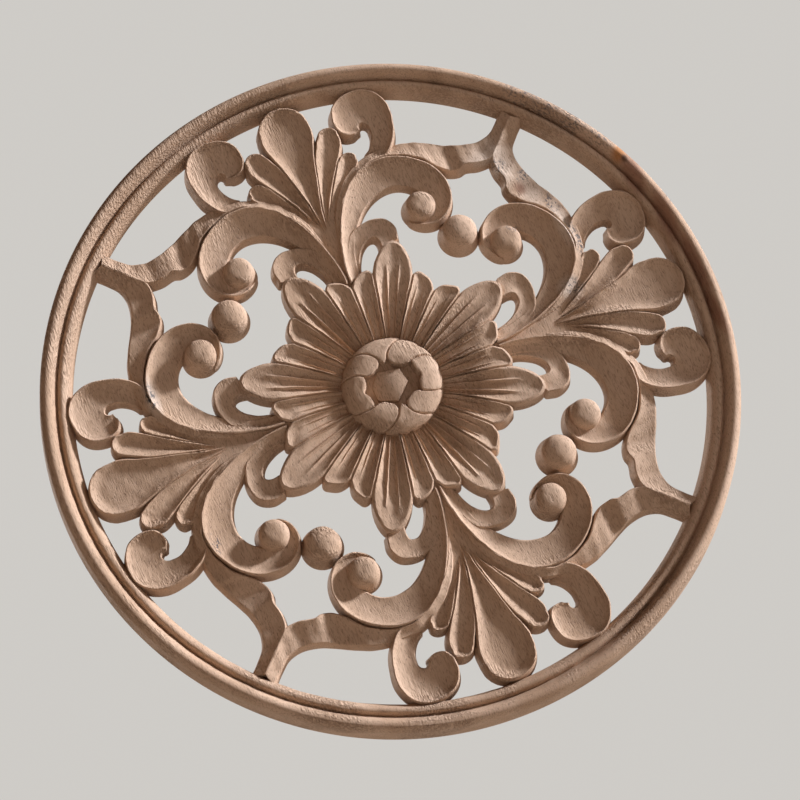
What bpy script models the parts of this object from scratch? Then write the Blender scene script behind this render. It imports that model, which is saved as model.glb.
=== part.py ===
"""Pierced round rosette, carved from one edge-glued board of pale hardwood.

Each motif is a small carved solid: a lofted top surface, walls that lean out towards the back, and
an underside below the back plane. The motifs are worked out for one palmette, mirrored and turned
four times round, united with the ring, and planed flat at the back.

Carving frame: x to the right, y along the palmette, z up from the back, in millimetres. The finished
rosette stands upright: its face looks along -Y, its back lies in the plane Y = 0, and a palmette
points up along +Z.
"""

import math

import bmesh
import bpy
import numpy as np
from mathutils.geometry import delaunay_2d_cdt

MM = 0.001

# Driving sizes
OUTER_RADIUS = 150.0
BOARD_DEPTH = 13.0
WALL_DRAFT = 0.12
UNDERCUT = 2.0
PALMETTES = 4

# Heights of the carving above the back
RIM = 9.9
LOW_EDGE = 6.2
LEAF_ROOT = 7.6
STEM = 7.2

# Cross-sections, as places across a motif and how far the surface lies below its edge line
LEAF_SECTION = ((0.0, -1.2), (0.13, 0.0), (0.5, -1.8), (0.87, 0.0), (1.0, -1.2))
BAND_SECTION = ((0.0, 0.0), (0.45, -1.0), (1.0, 0.0))
ARM_SECTION = ((0.0, 0.0), (0.5, -0.5), (1.0, 0.0))
FLAT_SECTION = ((0.0, 0.0), (0.5, -0.3), (1.0, 0.0))

# Ring, as distance in from the outer radius, and height
RING_SEGMENTS = 56
RING_PROFILE = ((13.2, 6.6), (10.3, RIM), (8.2, 7.6), (6.4, 11.4), (4.2, BOARD_DEPTH), (1.2, 10.0))

# Flower: every third petal is long, and the petals beside it are pushed aside at their ends
PETALS = 24
PETAL_ROOT = 19.0
SHORT_NOTCH = 46.2
LONG_NOTCH = 50.3
LONG_SPREAD = 2.4
SHORT_BULGE = 2.7
LONG_BULGE = 16.2
TIP_POWER = 0.55
PETAL_COLUMNS = (0.0, 0.13, 0.36, 0.64, 0.87)
PETAL_LEVELS = (8.6, 9.9, 8.4)
PETAL_HOLLOW = 1.7
PETAL_GROOVE = 1.3

# Boss: its turn, floor and crown as radius and height, and the bud in the pit
BOSS_TURN = 22.5
BOSS_RADIUS = 21.4
BOSS_FLOOR = ((0.0, 5.0), (10.8, 5.0), (11.8, 8.8), (BOSS_RADIUS, 5.6))
BOSS_CROWN = ((9.0, 10.4), (13.0, 10.6), (17.0, 9.6), (20.0, 8.0), (BOSS_RADIUS - 0.4, 6.8))
BOSS_GAP = 1.0
# Angles of both sides at the pit, the same at the rim, radius of the inner end, and its shape
BOSS_PETALS = (
    ((-14.0, 55.0), (-1.0, 36.0), 11.6, "heart"),
    ((55.0, 104.0), (36.0, 76.0), 9.0, "round"),
    ((102.0, 120.0), (76.0, 150.0), 9.8, "point"),
    ((120.0, 166.0), (150.0, 179.0), 9.4, "round"),
)
BOSS_SEGMENTS = 16
BOSS_PETAL_ROWS = 3
BOSS_PETAL_COLUMNS = 5
BUD_RADIUS = 7.4
BUD_HEIGHT = 7.6
BUD_DRAFT = 0.5
BUD_SIDES = 6

# Curls: angle about the centre, outer radius, inner radius, and the height of both edges
SCROLL_ROWS = 12
SCROLL_CENTRE = (42.5, 71.1)
SCROLL = (
    (-150.0, 7.9, 5.6, 5.0, 5.0),
    (-105.0, 8.7, 6.0, 8.0, 6.6),
    (-60.0, 10.9, 6.2, 9.2, 7.0),
    (-15.0, 13.7, 6.2, RIM, 7.0),
    (30.0, 17.2, 6.4, RIM, 6.8),
    (75.0, 22.3, 7.6, RIM, LOW_EDGE),
    (120.0, 30.4, 15.6, RIM, LOW_EDGE),
    (165.0, 35.0, 25.4, RIM, LOW_EDGE),
    (189.0, 40.2, 33.2, RIM, LOW_EDGE),
    (208.0, 47.4, 41.0, RIM, 6.8),
)
HOOK_ROWS = 9
HOOK_CENTRE = (33.5, 115.4)
HOOK = (
    (-108.0, 17.5, 12.5, 8.4, 6.4),
    (-78.0, 17.2, 6.8, 9.4, 6.4),
    (-45.0, 14.6, 3.6, RIM, LOW_EDGE),
    (-10.0, 13.4, 2.6, RIM, LOW_EDGE),
    (25.0, 15.1, 2.2, RIM, LOW_EDGE),
    (60.0, 17.1, 2.0, RIM, 6.6),
    (95.0, 16.9, 2.0, RIM, 7.0),
    (125.0, 16.2, 1.9, RIM, 7.2),
    (150.0, 13.8, 1.9, RIM, 7.4),
    (175.0, 11.2, 1.9, RIM, 7.6),
    (200.0, 6.0, 1.9, 9.0, 7.8),
)

# Round beads: centre, radius at the shoulder and shoulder height
CURL_BEAD = (SCROLL_CENTRE, 6.7, 8.2)
CORNER_BEAD = ((53.8, 53.8), 7.6, 8.0)
BEAD_DOME = 4.8
BEAD_DRAFT = 0.2
BEAD_SEGMENTS = 10
BEAD_STEPS = (0.0, 0.55, 1.0)

# Strips: stations from root to end, each an edge point and the opposite edge point as x, y, height.
# The arm ends along the corner axis, where it meets the arm of the next palmette in a ridge.
ARM_ROWS = 10
ARM = (
    ((24.4, 99.9, 6.6), (25.4, 97.4, 7.4)),
    ((32.0, 102.3, 6.6), (32.0, 98.9, 8.0)),
    ((40.5, 102.8, 6.8), (41.0, 97.4, 8.6)),
    ((49.0, 101.5, 7.0), (50.4, 92.4, 9.0)),
    ((55.0, 99.2, 6.8), (56.6, 85.4, 8.6)),
    ((60.4, 96.7, 5.8), (61.2, 81.8, 7.6)),
    ((65.2, 94.2, 6.0), (65.4, 80.8, 8.6)),
    ((69.4, 92.2, 7.4), (69.0, 81.6, 9.8)),
    ((75.0, 90.9, 6.8), (75.0, 80.2, 9.0)),
    ((80.4, 91.0, 6.6), (81.3, 80.9, 9.2)),
    ((85.2, 92.8, 6.8), (85.8, 85.4, 9.5)),
    ((89.6, 96.6, 7.0), (90.6, 90.2, 9.7)),
    ((94.0, 101.0, 7.0), (95.8, 95.4, RIM)),
)
MIDDLE_LEAF_ROWS = 6
MIDDLE_LEAF = (
    ((-1.6, 82.0, LEAF_ROOT), (1.6, 82.0, LEAF_ROOT)),
    ((-4.4, 95.0, RIM), (4.4, 95.0, RIM)),
    ((-7.8, 108.5, RIM), (7.8, 108.5, RIM)),
    ((-11.5, 119.5, RIM), (11.5, 119.5, RIM)),
    ((-10.2, 130.6, RIM), (10.2, 130.6, RIM)),
)
MIDDLE_TIP = 5.7
SIDE_LEAF_ROWS = 5
SIDE_LEAF = (
    ((2.2, 86.0, LEAF_ROOT), (7.6, 87.5, LEAF_ROOT)),
    ((4.4, 97.0, RIM), (12.7, 97.0, RIM)),
    ((7.4, 107.0, RIM), (18.8, 106.4, RIM)),
    ((10.6, 115.0, RIM), (21.6, 112.2, RIM)),
    ((12.2, 118.4, RIM), (21.0, 116.8, RIM)),
)
SIDE_TIP = 2.2
LAST_LEAF_ROWS = 4
LAST_LEAF = (
    ((7.6, 87.5, LEAF_ROOT), (15.0, 90.0, LEAF_ROOT)),
    ((11.6, 95.2, RIM), (20.6, 95.4, RIM)),
    ((15.6, 101.8, RIM), (24.8, 99.8, RIM)),
    ((17.8, 105.0, RIM), (24.8, 103.4, RIM)),
)
LAST_TIP = 1.8
LEAFLET_ROWS = 6
LEAFLET = (
    ((3.5, 60.0, 7.2), (7.0, 52.0, 6.6)),
    ((8.0, 69.5, 6.8), (8.4, 57.0, 6.4)),
    ((14.0, 72.8, 6.8), (11.4, 62.2, 6.4)),
    ((20.4, 73.4, 7.6), (15.2, 65.2, 6.6)),
    ((26.0, 71.2, 8.2), (18.4, 65.2, 7.0)),
    ((28.6, 66.0, 8.6), (19.6, 62.6, 7.6)),
    ((27.8, 60.6, 8.4), (19.0, 58.0, 7.8)),
)
STEM_ROWS = 4
PALMETTE_STEM = (
    ((-1.2, 44.0, STEM), (1.2, 44.0, STEM)),
    ((-2.6, 62.0, STEM), (2.6, 62.0, STEM)),
    ((-7.5, 78.0, STEM), (7.5, 78.0, STEM)),
    ((-16.0, 91.0, STEM), (16.0, 91.0, STEM)),
    ((-15.0, 106.0, STEM), (15.0, 106.0, STEM)),
)


def smooth_stations(stations, count):
    """Values at count even steps along a Catmull-Rom curve through the stations."""
    values = np.asarray(stations, dtype=float)
    padded = np.vstack((2 * values[0] - values[1], values, 2 * values[-1] - values[-2]))
    steps = np.linspace(0, len(values) - 1, count)
    first = np.minimum(steps.astype(int), len(values) - 2)
    t = (steps - first)[:, None]
    before, start, end, after = (padded[first + offset] for offset in range(4))
    return 0.5 * (
        2 * start
        + (end - before) * t
        + (2 * before - 5 * start + 4 * end - after) * t**2
        + (3 * start - before - 3 * end + after) * t**3
    )


def loft(left, right, section, tip=0.0):
    """Grid between two edges of x, y, z rows: straight across, shaped by the section.

    The last rows bulge along the motif by tip, so that its end is an arc.
    """
    across, drop = np.array(section).T
    v = across[None, :, None]
    grid = left[:, None] * (1 - v) + right[:, None] * v
    grid[..., 2] += drop
    middle = (left + right)[:, :2] / 2
    direction = middle[-1] - middle[-2]
    direction /= np.linalg.norm(direction)
    u = np.linspace(0, 1, len(left))[:, None]
    grid[..., :2] += (tip * u**4 * 4 * across * (1 - across))[..., None] * direction
    return grid


def boundary(rows, columns):
    """Indices of a grid's edge, once round in order."""
    index = np.arange(rows * columns).reshape(rows, columns)
    return np.concatenate((index[0, :-1], index[:-1, -1], index[-1, :0:-1], index[:0:-1, 0]))


def grid_faces(rows, columns):
    """Quads of a grid, row by row."""
    index = np.arange(rows * columns).reshape(rows, columns)
    corners = (index[:-1, :-1], index[:-1, 1:], index[1:, 1:], index[1:, :-1])
    return np.stack(corners, axis=-1).reshape(-1, 4)


def signed_area(loop):
    """Area of a flat loop of points, positive when it runs counter-clockwise."""
    x, y = loop[:, 0], loop[:, 1]
    return 0.5 * np.sum(x * np.roll(y, -1) - np.roll(x, -1) * y)


def leant_out(loop, draft):
    """Foot of the wall below a counter-clockwise loop: moved outward by the draft, below the back."""
    run = np.roll(loop[:, :2], -1, axis=0) - np.roll(loop[:, :2], 1, axis=0)
    outward = np.column_stack((run[:, 1], -run[:, 0])) / np.linalg.norm(run, axis=1)[:, None]
    foot = loop.copy()
    foot[:, :2] += outward * (draft * (loop[:, 2] + UNDERCUT))[:, None]
    foot[:, 2] = -UNDERCUT
    return foot


def carved(grid, draft=WALL_DRAFT):
    """Closed solid under a grid: the top, walls that lean outwards going down, and a flat underside."""
    rows, columns = grid.shape[:2]
    loop = boundary(rows, columns)
    if signed_area(grid.reshape(-1, 3)[loop]) < 0:
        grid = grid[:, ::-1]
    top = grid.reshape(-1, 3)
    foot = top.copy()
    foot[:, 2] = -UNDERCUT
    foot[loop] = leant_out(top[loop], draft)
    faces = grid_faces(rows, columns)
    following = np.roll(loop, -1)
    walls = np.column_stack((loop, loop + len(top), following + len(top), following))
    underside = faces[:, ::-1] + len(top)
    return np.vstack((top, foot)), np.vstack((faces, walls, underside)).tolist()


def spread(loop, draft):
    """Foot of the wall below a loop about the origin: moved outward along the radius, below the back."""
    reach = np.linalg.norm(loop[:, :2], axis=1)
    foot = loop.copy()
    foot[:, :2] *= (1 + draft * (loop[:, 2] + UNDERCUT) / reach)[:, None]
    foot[:, 2] = -UNDERCUT
    return foot


def carved_round(grid, draft=WALL_DRAFT):
    """Closed ring under a grid whose columns run round counter-clockwise and whose rows run outward."""
    rows = np.concatenate((grid, spread(grid[-1], draft)[None], spread(grid[0], -draft)[None]))
    index = np.arange(rows.shape[0] * rows.shape[1]).reshape(rows.shape[:2])
    below = np.roll(index, -1, axis=0)
    corners = (index, below, np.roll(below, -1, axis=1), np.roll(index, -1, axis=1))
    return rows.reshape(-1, 3), np.stack(corners, axis=-1).reshape(-1, 4).tolist()


def turned_grid(profile, segments, centre=(0.0, 0.0)):
    """Grid made by turning a profile of radius and height about an upright axis."""
    radius, height = np.array(profile, dtype=float).T
    angle = np.arange(segments) * 2 * math.pi / segments
    x = centre[0] + np.outer(radius, np.cos(angle))
    y = centre[1] + np.outer(radius, np.sin(angle))
    return np.stack((x, y, np.outer(height, np.ones(segments))), axis=-1)


def turned_knob(profile, segments, centre=(0.0, 0.0), draft=WALL_DRAFT):
    """Solid turned about an upright axis, from a profile that starts at the pole."""
    grid = turned_grid(profile[1:], segments, centre)
    rows = np.concatenate((grid, leant_out(grid[-1], draft)[None]))
    pole = np.array((*centre, profile[0][1]))
    foot = np.array((*centre, -UNDERCUT))
    index = np.arange(rows.shape[0] * segments).reshape(rows.shape[:2])
    beside = np.roll(index, -1, axis=1)
    quads = np.stack((index[:-1], index[1:], beside[1:], beside[:-1]), axis=-1).reshape(-1, 4)
    top = [(index.size, start, end) for start, end in zip(index[0], beside[0])]
    bottom = [(index.size + 1, end, start) for start, end in zip(index[-1], beside[-1])]
    return np.vstack((rows.reshape(-1, 3), pole, foot)), quads.tolist() + top + bottom


def mirrored(solid):
    """The solid reflected across the palmette's axis, with its faces turned to stay outward."""
    points, faces = solid
    return points * (-1, 1, 1), [face[::-1] for face in faces]


def turned_by(solid, degrees):
    """The solid turned about the rosette's axis, clockwise seen from the front."""
    points, faces = solid
    angle = math.radians(degrees)
    cosine, sine = math.cos(angle), math.sin(angle)
    turn = np.array(((cosine, -sine, 0), (sine, cosine, 0), (0, 0, 1)))
    return points @ turn, faces


def ring():
    """The round frame: a half-round outside and a bead inside, with a V groove between them."""
    profile = [(OUTER_RADIUS - inset, height) for inset, height in RING_PROFILE]
    return carved_round(turned_grid(profile, RING_SEGMENTS))


def petal(number):
    """Grid of one petal: straight from its root arc to its outline, hollow, with a groove at each side.

    The outline runs between the two notches and bulges out by a power of the cosine.
    """
    step = 360 / PETALS
    place = number % 3
    is_long = place == 1
    ends = [number * step, (number + 1) * step]
    notches = [SHORT_NOTCH, SHORT_NOTCH]
    if is_long or place == 2:
        ends[0] -= LONG_SPREAD if is_long else -LONG_SPREAD
        notches[0] = LONG_NOTCH
    if is_long or place == 0:
        ends[1] += LONG_SPREAD if is_long else -LONG_SPREAD
        notches[1] = LONG_NOTCH
    roots = (number * step, (number + 1) * step)
    v = np.array(PETAL_COLUMNS)
    root_angle = np.radians(roots[0] + (roots[1] - roots[0]) * v)
    root = PETAL_ROOT * np.column_stack((np.cos(root_angle), np.sin(root_angle)))
    angles = np.radians(ends)
    start, end = (notch * np.array((math.cos(a), math.sin(a))) for notch, a in zip(notches, angles))
    axis = math.radians((number + 0.5) * step)
    swing = (v - 0.5) * math.pi
    bulge = (LONG_BULGE if is_long else SHORT_BULGE) * np.abs(np.cos(swing)) ** TIP_POWER
    outline = (start + end) / 2 + np.outer(np.sin(swing), (end - start) / 2)
    outline += np.outer(bulge, (math.cos(axis), math.sin(axis)))
    u = np.linspace(0, 1, len(PETAL_LEVELS))[:, None, None]
    plan = root * (1 - u) + outline * u
    side = np.abs(2 * v - 1)
    rim = 1 - 2 * PETAL_COLUMNS[1]
    hollow = PETAL_HOLLOW * np.maximum(0, 1 - (side / rim) ** 2)
    groove = PETAL_GROOVE * np.maximum(0, (side - rim) / (1 - rim))
    height = np.array(PETAL_LEVELS)[:, None] - hollow - groove
    return np.dstack((plan, height))


def flower():
    """All petals as one ring."""
    return carved_round(np.concatenate([petal(number) for number in range(PETALS)], axis=1))


def petal_end(kind, v):
    """How far the inner end of a boss petal lies back from its innermost point, across the petal."""
    side = 2 * v - 1
    if kind == "heart":
        return 1.4 * np.exp(-((side / 0.22) ** 2)) + 1.8 * side**6
    if kind == "point":
        return 1.6 * np.abs(side)
    return 3.2 * side**4


def boss_petal(pit_angles, rim_angles, inner_radius, kind):
    """One petal of the boss, from the pit to the boss's rim, between two leaning sides."""
    u = np.linspace(0, 1, BOSS_PETAL_ROWS)[:, None]
    v = np.linspace(0, 1, BOSS_PETAL_COLUMNS)[None, :]
    inner = inner_radius + petal_end(kind, v)
    outer = BOSS_CROWN[-1][0]
    radius = inner + (outer - inner) * u
    lean = ((radius - inner_radius) / (outer - inner_radius)) ** 2
    start = pit_angles[0] + (rim_angles[0] - pit_angles[0]) * lean
    end = pit_angles[1] + (rim_angles[1] - pit_angles[1]) * lean
    half_gap = np.degrees(BOSS_GAP / 2 / radius)
    angle = np.radians(start + half_gap + (end - start - 2 * half_gap) * v)
    crown = np.interp(radius, *zip(*BOSS_CROWN))
    return carved(np.stack((radius * np.cos(angle), radius * np.sin(angle), crown), axis=-1))


def boss():
    """Swirl of eight petals round a pit, alike after half a turn, with a faceted bud in the pit."""
    solids = [turned_knob(BOSS_FLOOR, BOSS_SEGMENTS)]
    for shape in BOSS_PETALS:
        one = boss_petal(*shape)
        solids += [one, turned_by(one, 180)]
    solids.append(turned_knob(((0, BUD_HEIGHT), (BUD_RADIUS, BUD_HEIGHT - 0.4)), BUD_SIDES, draft=BUD_DRAFT))
    return [turned_by(solid, BOSS_TURN) for solid in solids]


def curl(centre, stations, rows):
    """Band that winds round a centre: a spiral outer edge and a spiral inner edge."""
    angle, outer, inner, outer_height, inner_height = smooth_stations(stations, rows).T
    angle = np.radians(angle)
    direction = np.column_stack((np.cos(angle), np.sin(angle)))
    left = np.column_stack((centre + direction * outer[:, None], outer_height))
    right = np.column_stack((centre + direction * inner[:, None], inner_height))
    return carved(loft(left, right, BAND_SECTION))


def strip(stations, rows, section, tip=0.0):
    """Motif between two edges that are given station by station."""
    edges = smooth_stations([first + second for first, second in stations], rows)
    return carved(loft(edges[:, :3], edges[:, 3:], section, tip))


def bead(centre, radius, shoulder):
    """Domed round bead on a drafted post."""
    turns = np.array(BEAD_STEPS) * math.pi / 2
    dome = np.column_stack((radius * np.sin(turns), shoulder + BEAD_DOME * np.cos(turns)))
    return turned_knob(dome.tolist(), BEAD_SEGMENTS, centre, BEAD_DRAFT)


def quarter():
    """All motifs that belong to one palmette."""
    single = [
        strip(MIDDLE_LEAF, MIDDLE_LEAF_ROWS, LEAF_SECTION, MIDDLE_TIP),
        strip(PALMETTE_STEM, STEM_ROWS, FLAT_SECTION),
        bead(*CORNER_BEAD),
    ]
    paired = [
        curl(SCROLL_CENTRE, SCROLL, SCROLL_ROWS),
        curl(HOOK_CENTRE, HOOK, HOOK_ROWS),
        bead(*CURL_BEAD),
        strip(ARM, ARM_ROWS, ARM_SECTION),
        strip(SIDE_LEAF, SIDE_LEAF_ROWS, LEAF_SECTION, SIDE_TIP),
        strip(LAST_LEAF, LAST_LEAF_ROWS, LEAF_SECTION, LAST_TIP),
        strip(LEAFLET, LEAFLET_ROWS, ARM_SECTION),
    ]
    return single + paired + [mirrored(solid) for solid in paired]


def add_solid(name, solid):
    """Blender object for a solid given in millimetres in the carving frame."""
    points, faces = solid
    mesh = bpy.data.meshes.new(name)
    mesh.from_pydata((points * MM).tolist(), [], faces)
    added = bpy.data.objects.new(name, mesh)
    added.hide_render = True
    added.display_type = "WIRE"
    return added


def united(body, others):
    """Mesh of the body united with a list of solids, which are then removed.

    EXACT leaves open edges where so many undersides share a plane, so this uses MANIFOLD.
    """
    group = bpy.data.collections.new("others")
    for other in others:
        group.objects.link(other)
    bpy.context.scene.collection.objects.link(body)
    modifier = body.modifiers.new("union", "BOOLEAN")
    modifier.operation = "UNION"
    modifier.operand_type = "COLLECTION"
    modifier.collection = group
    modifier.solver = "MANIFOLD"
    shape = bpy.data.meshes.new_from_object(body.evaluated_get(bpy.context.evaluated_depsgraph_get()))
    for used in [body, *others]:
        bpy.data.objects.remove(used, do_unlink=True)
    bpy.data.collections.remove(group)
    return shape


def enclosed(places, starts, ends):
    """Which flat places lie inside the loops that the edges make: those with an odd count of edges beside."""
    x, y = places[:, :1], places[:, 1:]
    crossing = (starts[:, 1] <= y) != (ends[:, 1] <= y)
    rise = np.where(starts[:, 1] == ends[:, 1], 1.0, ends[:, 1] - starts[:, 1])
    meeting = starts[:, 0] + (y - starts[:, 1]) * (ends[:, 0] - starts[:, 0]) / rise
    return np.count_nonzero(crossing & (meeting > x), axis=1) % 2 == 1


def plane_back(shape):
    """Cut everything below the back plane away, and close the cut with flat triangles."""
    work = bmesh.new()
    work.from_mesh(shape)
    everything = work.verts[:] + work.edges[:] + work.faces[:]
    bmesh.ops.bisect_plane(work, geom=everything, plane_no=(0, 0, 1), clear_inner=True)
    rim = [edge for edge in work.edges if edge.is_boundary]
    corners = [vertex for vertex in work.verts if vertex.is_boundary]
    number = {vertex: place for place, vertex in enumerate(corners)}
    links = np.array([[number[vertex] for vertex in edge.verts] for edge in rim])
    points = [vertex.co.xy for vertex in corners]
    triangles = np.array(delaunay_2d_cdt(points, links.tolist(), [], 1, 1e-9, False)[2])
    flat = np.array(points)
    kept = enclosed(flat[triangles].mean(axis=1), flat[links[:, 0]], flat[links[:, 1]])
    for triangle in triangles[kept]:
        work.faces.new([corners[corner] for corner in triangle[::-1]])
    work.to_mesh(shape)
    work.free()


def raw_wood():
    """Pale sanded hardwood without finish."""
    material = bpy.data.materials.new("raw_wood")
    material.use_nodes = True
    shader = material.node_tree.nodes["Principled BSDF"]
    shader.inputs["Base Color"].default_value = (0.45, 0.28, 0.18, 1)
    shader.inputs["Roughness"].default_value = 0.75
    shader.inputs["Metallic"].default_value = 0.0
    return material


def carve():
    """Unite all motifs with the ring, plane the back, and stand the rosette up."""
    solids = [flower(), *boss()]
    for number in range(PALMETTES):
        solids += [turned_by(solid, number * 360 / PALMETTES) for solid in quarter()]
    motifs = [add_solid(f"motif_{number}", solid) for number, solid in enumerate(solids)]
    shape = united(add_solid("ring", ring()), motifs)
    plane_back(shape)
    rosette = bpy.data.objects.new("carved_rosette", shape)
    rosette.rotation_euler.x = math.pi / 2
    shape.materials.clear()
    shape.materials.append(raw_wood())
    shape.shade_smooth()
    shape.set_sharp_from_angle(angle=math.radians(35))
    bpy.context.scene.collection.objects.link(rosette)


def main():
    """Build the rosette as one solid."""
    for existing in list(bpy.data.objects):
        bpy.data.objects.remove(existing, do_unlink=True)
    carve()


main()
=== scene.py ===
"""Looks of a pierced carved rosette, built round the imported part.

One fine carving replaces the part's plain one. Each motif is a grid of points whose plan is a spiral,
a strip between two edges or a turned profile, and whose height falls off with the distance in from its
outline. The motifs are worked out for one palmette, mirrored and turned four times round, united, and
planed flat at the back.

Carving frame: x to the right, y along the palmette, z up from the back, in millimetres. The finished
rosette stands upright: its face looks along -Y, its back lies in the plane Y = 0, and a palmette
points up along +Z.
"""

import math

import bmesh
import bpy
import numpy as np
from mathutils import Matrix, Vector
from mathutils.geometry import delaunay_2d_cdt


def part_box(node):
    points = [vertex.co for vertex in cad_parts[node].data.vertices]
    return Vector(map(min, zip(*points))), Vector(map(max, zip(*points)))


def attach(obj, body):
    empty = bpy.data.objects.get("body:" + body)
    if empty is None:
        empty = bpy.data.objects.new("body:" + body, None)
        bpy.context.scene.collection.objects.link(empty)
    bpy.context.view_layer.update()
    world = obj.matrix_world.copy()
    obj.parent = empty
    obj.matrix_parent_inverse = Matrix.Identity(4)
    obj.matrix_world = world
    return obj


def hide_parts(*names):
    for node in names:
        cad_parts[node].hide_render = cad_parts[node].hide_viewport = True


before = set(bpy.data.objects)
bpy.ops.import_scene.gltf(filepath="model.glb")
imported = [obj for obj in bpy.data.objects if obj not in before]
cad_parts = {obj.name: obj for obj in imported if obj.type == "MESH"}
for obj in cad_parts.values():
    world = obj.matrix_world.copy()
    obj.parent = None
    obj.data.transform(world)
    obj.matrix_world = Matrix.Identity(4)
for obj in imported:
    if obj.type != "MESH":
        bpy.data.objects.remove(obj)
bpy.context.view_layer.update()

NODE = "carved_rosette"
MM = 0.001

# Carving: the walls' lean as a share of their height, how far the motifs reach below the back before it
# is planed, the number of palmettes, and the angle from which an edge is drawn sharp
WALL_DRAFT = 0.12
SPARE_DEPTH = 2.0
PALMETTES = 4
SHARP_ANGLE = 38.0

# Heights of the carving above the back
RIM = 9.9
LOW_EDGE = 6.2
STEM = 7.2

# Ring, as distance in from the outer radius, and height: the inner bead, then the half-round outside
RING_SEGMENTS = 440
RING_BEAD = ((13.4, 6.2), (12.6, 8.1), (11.4, 9.5), (10.2, RIM), (9.0, 9.3), (8.2, 7.6))
RING_ROUND = ((8.0, 7.5), (7.1, 9.9), (5.9, 12.2), (4.2, 13.0), (2.6, 12.4), (1.2, 10.4), (0.96, 8.0))
RING_BEAD_STEPS = 9
RING_ROUND_STEPS = 13

# Flower: of every three petals the middle one is long, and at its notches it spreads by an angle to either
# side. A petal's rows crowd together towards its tip by a power.
PETALS = 24
LONG_EVERY = 3
LONG_PLACE = 1
PETAL_ROOT = 19.0
PETAL_ROWS = 26
PETAL_CROWD = 1.4
SHORT_NOTCH = 45.8
LONG_NOTCH = 50.3
LONG_SPREAD = 2.4
# How far a tip bulges out, how much wider than its notches it gets, and how blunt it is
SHORT_TIP = (3.8, 0.0, 3.6)
LONG_TIP = (15.9, 0.45, 1.7)
# Half of a petal's columns as places across it; the other half mirrors them
PETAL_ACROSS = (0.0, 0.03, 0.06, 0.085, 0.11, 0.17, 0.24, 0.305, 0.36, 0.415, 0.5)
# From root to tip: height of the rims, and how much of the hollow's depth there is
PETAL_CROWN = (5.4, 8.4, 9.7, 10.2, 9.4)
PETAL_DEPTH = (0.8, 1.0, 1.0, 0.9, 0.7)
# Sections: share of the petal's width in from its outline, and height against the rim. The fluted one
# belongs to the root and the scooped one to the tip, and the one turns into the other between these ends.
FLUTED_SECTION = ((0.0, -2.0), (0.06, 0.0), (0.11, -1.6), (0.2, -2.0), (0.32, -2.3), (0.5, -2.4))
SCOOPED_SECTION = ((0.0, -0.8), (0.06, 0.0), (0.11, -0.5), (0.2, -1.1), (0.32, -1.7), (0.5, -2.1))
SCOOP_ENDS = (0.4, 0.85)
# Two veins of each petal: place across it and height, half the width, and where they fade out
LONG_VEIN = (0.36, 1.5)
SHORT_VEIN = (0.305, 0.8)
VEIN_WIDTH = 0.055
VEIN_ENDS = (0.5, 0.9)

# Boss: its turn in degrees, and the pit's floor and the petals' crown as radius and height
BOSS_TURN = 22.5
BOSS_SEGMENTS = 96
BOSS_RADIUS = 22.4
BOSS_FLOOR = ((0.0, 5.0), (13.5, 5.0))
BOSS_CROWN = (
    (7.0, 9.0),
    (9.0, 9.7),
    (13.0, 10.0),
    (17.0, 9.4),
    (20.0, 8.0),
    (21.4, 6.4),
    (BOSS_RADIUS, 3.6),
)
# Its petals: radius where their sides start to lean, the groove between them, and their rounded inner ends
BOSS_LEAN_START = 9.0
BOSS_ROWS = 22
BOSS_PETAL_COLUMNS = 26
BOSS_GROOVE = 1.0
BOSS_GROOVE_WIDTH = 0.6
BOSS_ROUNDING = 0.3
# Angles of both sides at the pit, the same at the rim, radius of the inner end, and its shape
BOSS_PETALS = (
    ((-14.0, 55.0), (-1.0, 36.0), 11.6, "heart"),
    ((55.0, 104.0), (36.0, 76.0), 9.0, "round"),
    ((104.0, 120.0), (76.0, 150.0), 9.8, "point"),
    ((120.0, 166.0), (150.0, 179.0), 9.4, "round"),
)
# Inner ends: how far the heart's cleft and shoulders lie back, the cleft's width as a share of half the
# petal, and how far the sides of the pointed and the round end lie back
HEART_CLEFT = 1.4
HEART_CLEFT_WIDTH = 0.22
HEART_SHOULDER = 1.8
POINT_FALL = 1.6
ROUND_FALL = 3.2
# Bud in the pit: corners of its top facets and its peak as x, y and height, and how far its foot spreads
BUD_TOP = (
    (-6.6, 5.4, 6.4),
    (2.6, 7.0, 8.4),
    (6.4, 1.4, 8.8),
    (2.6, -7.0, 8.0),
    (-5.8, -7.0, 6.4),
    (-8.6, -1.2, 5.4),
)
BUD_PEAK = (0.4, 0.2, 10.1)
BUD_SPREAD = 1.25

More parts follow.
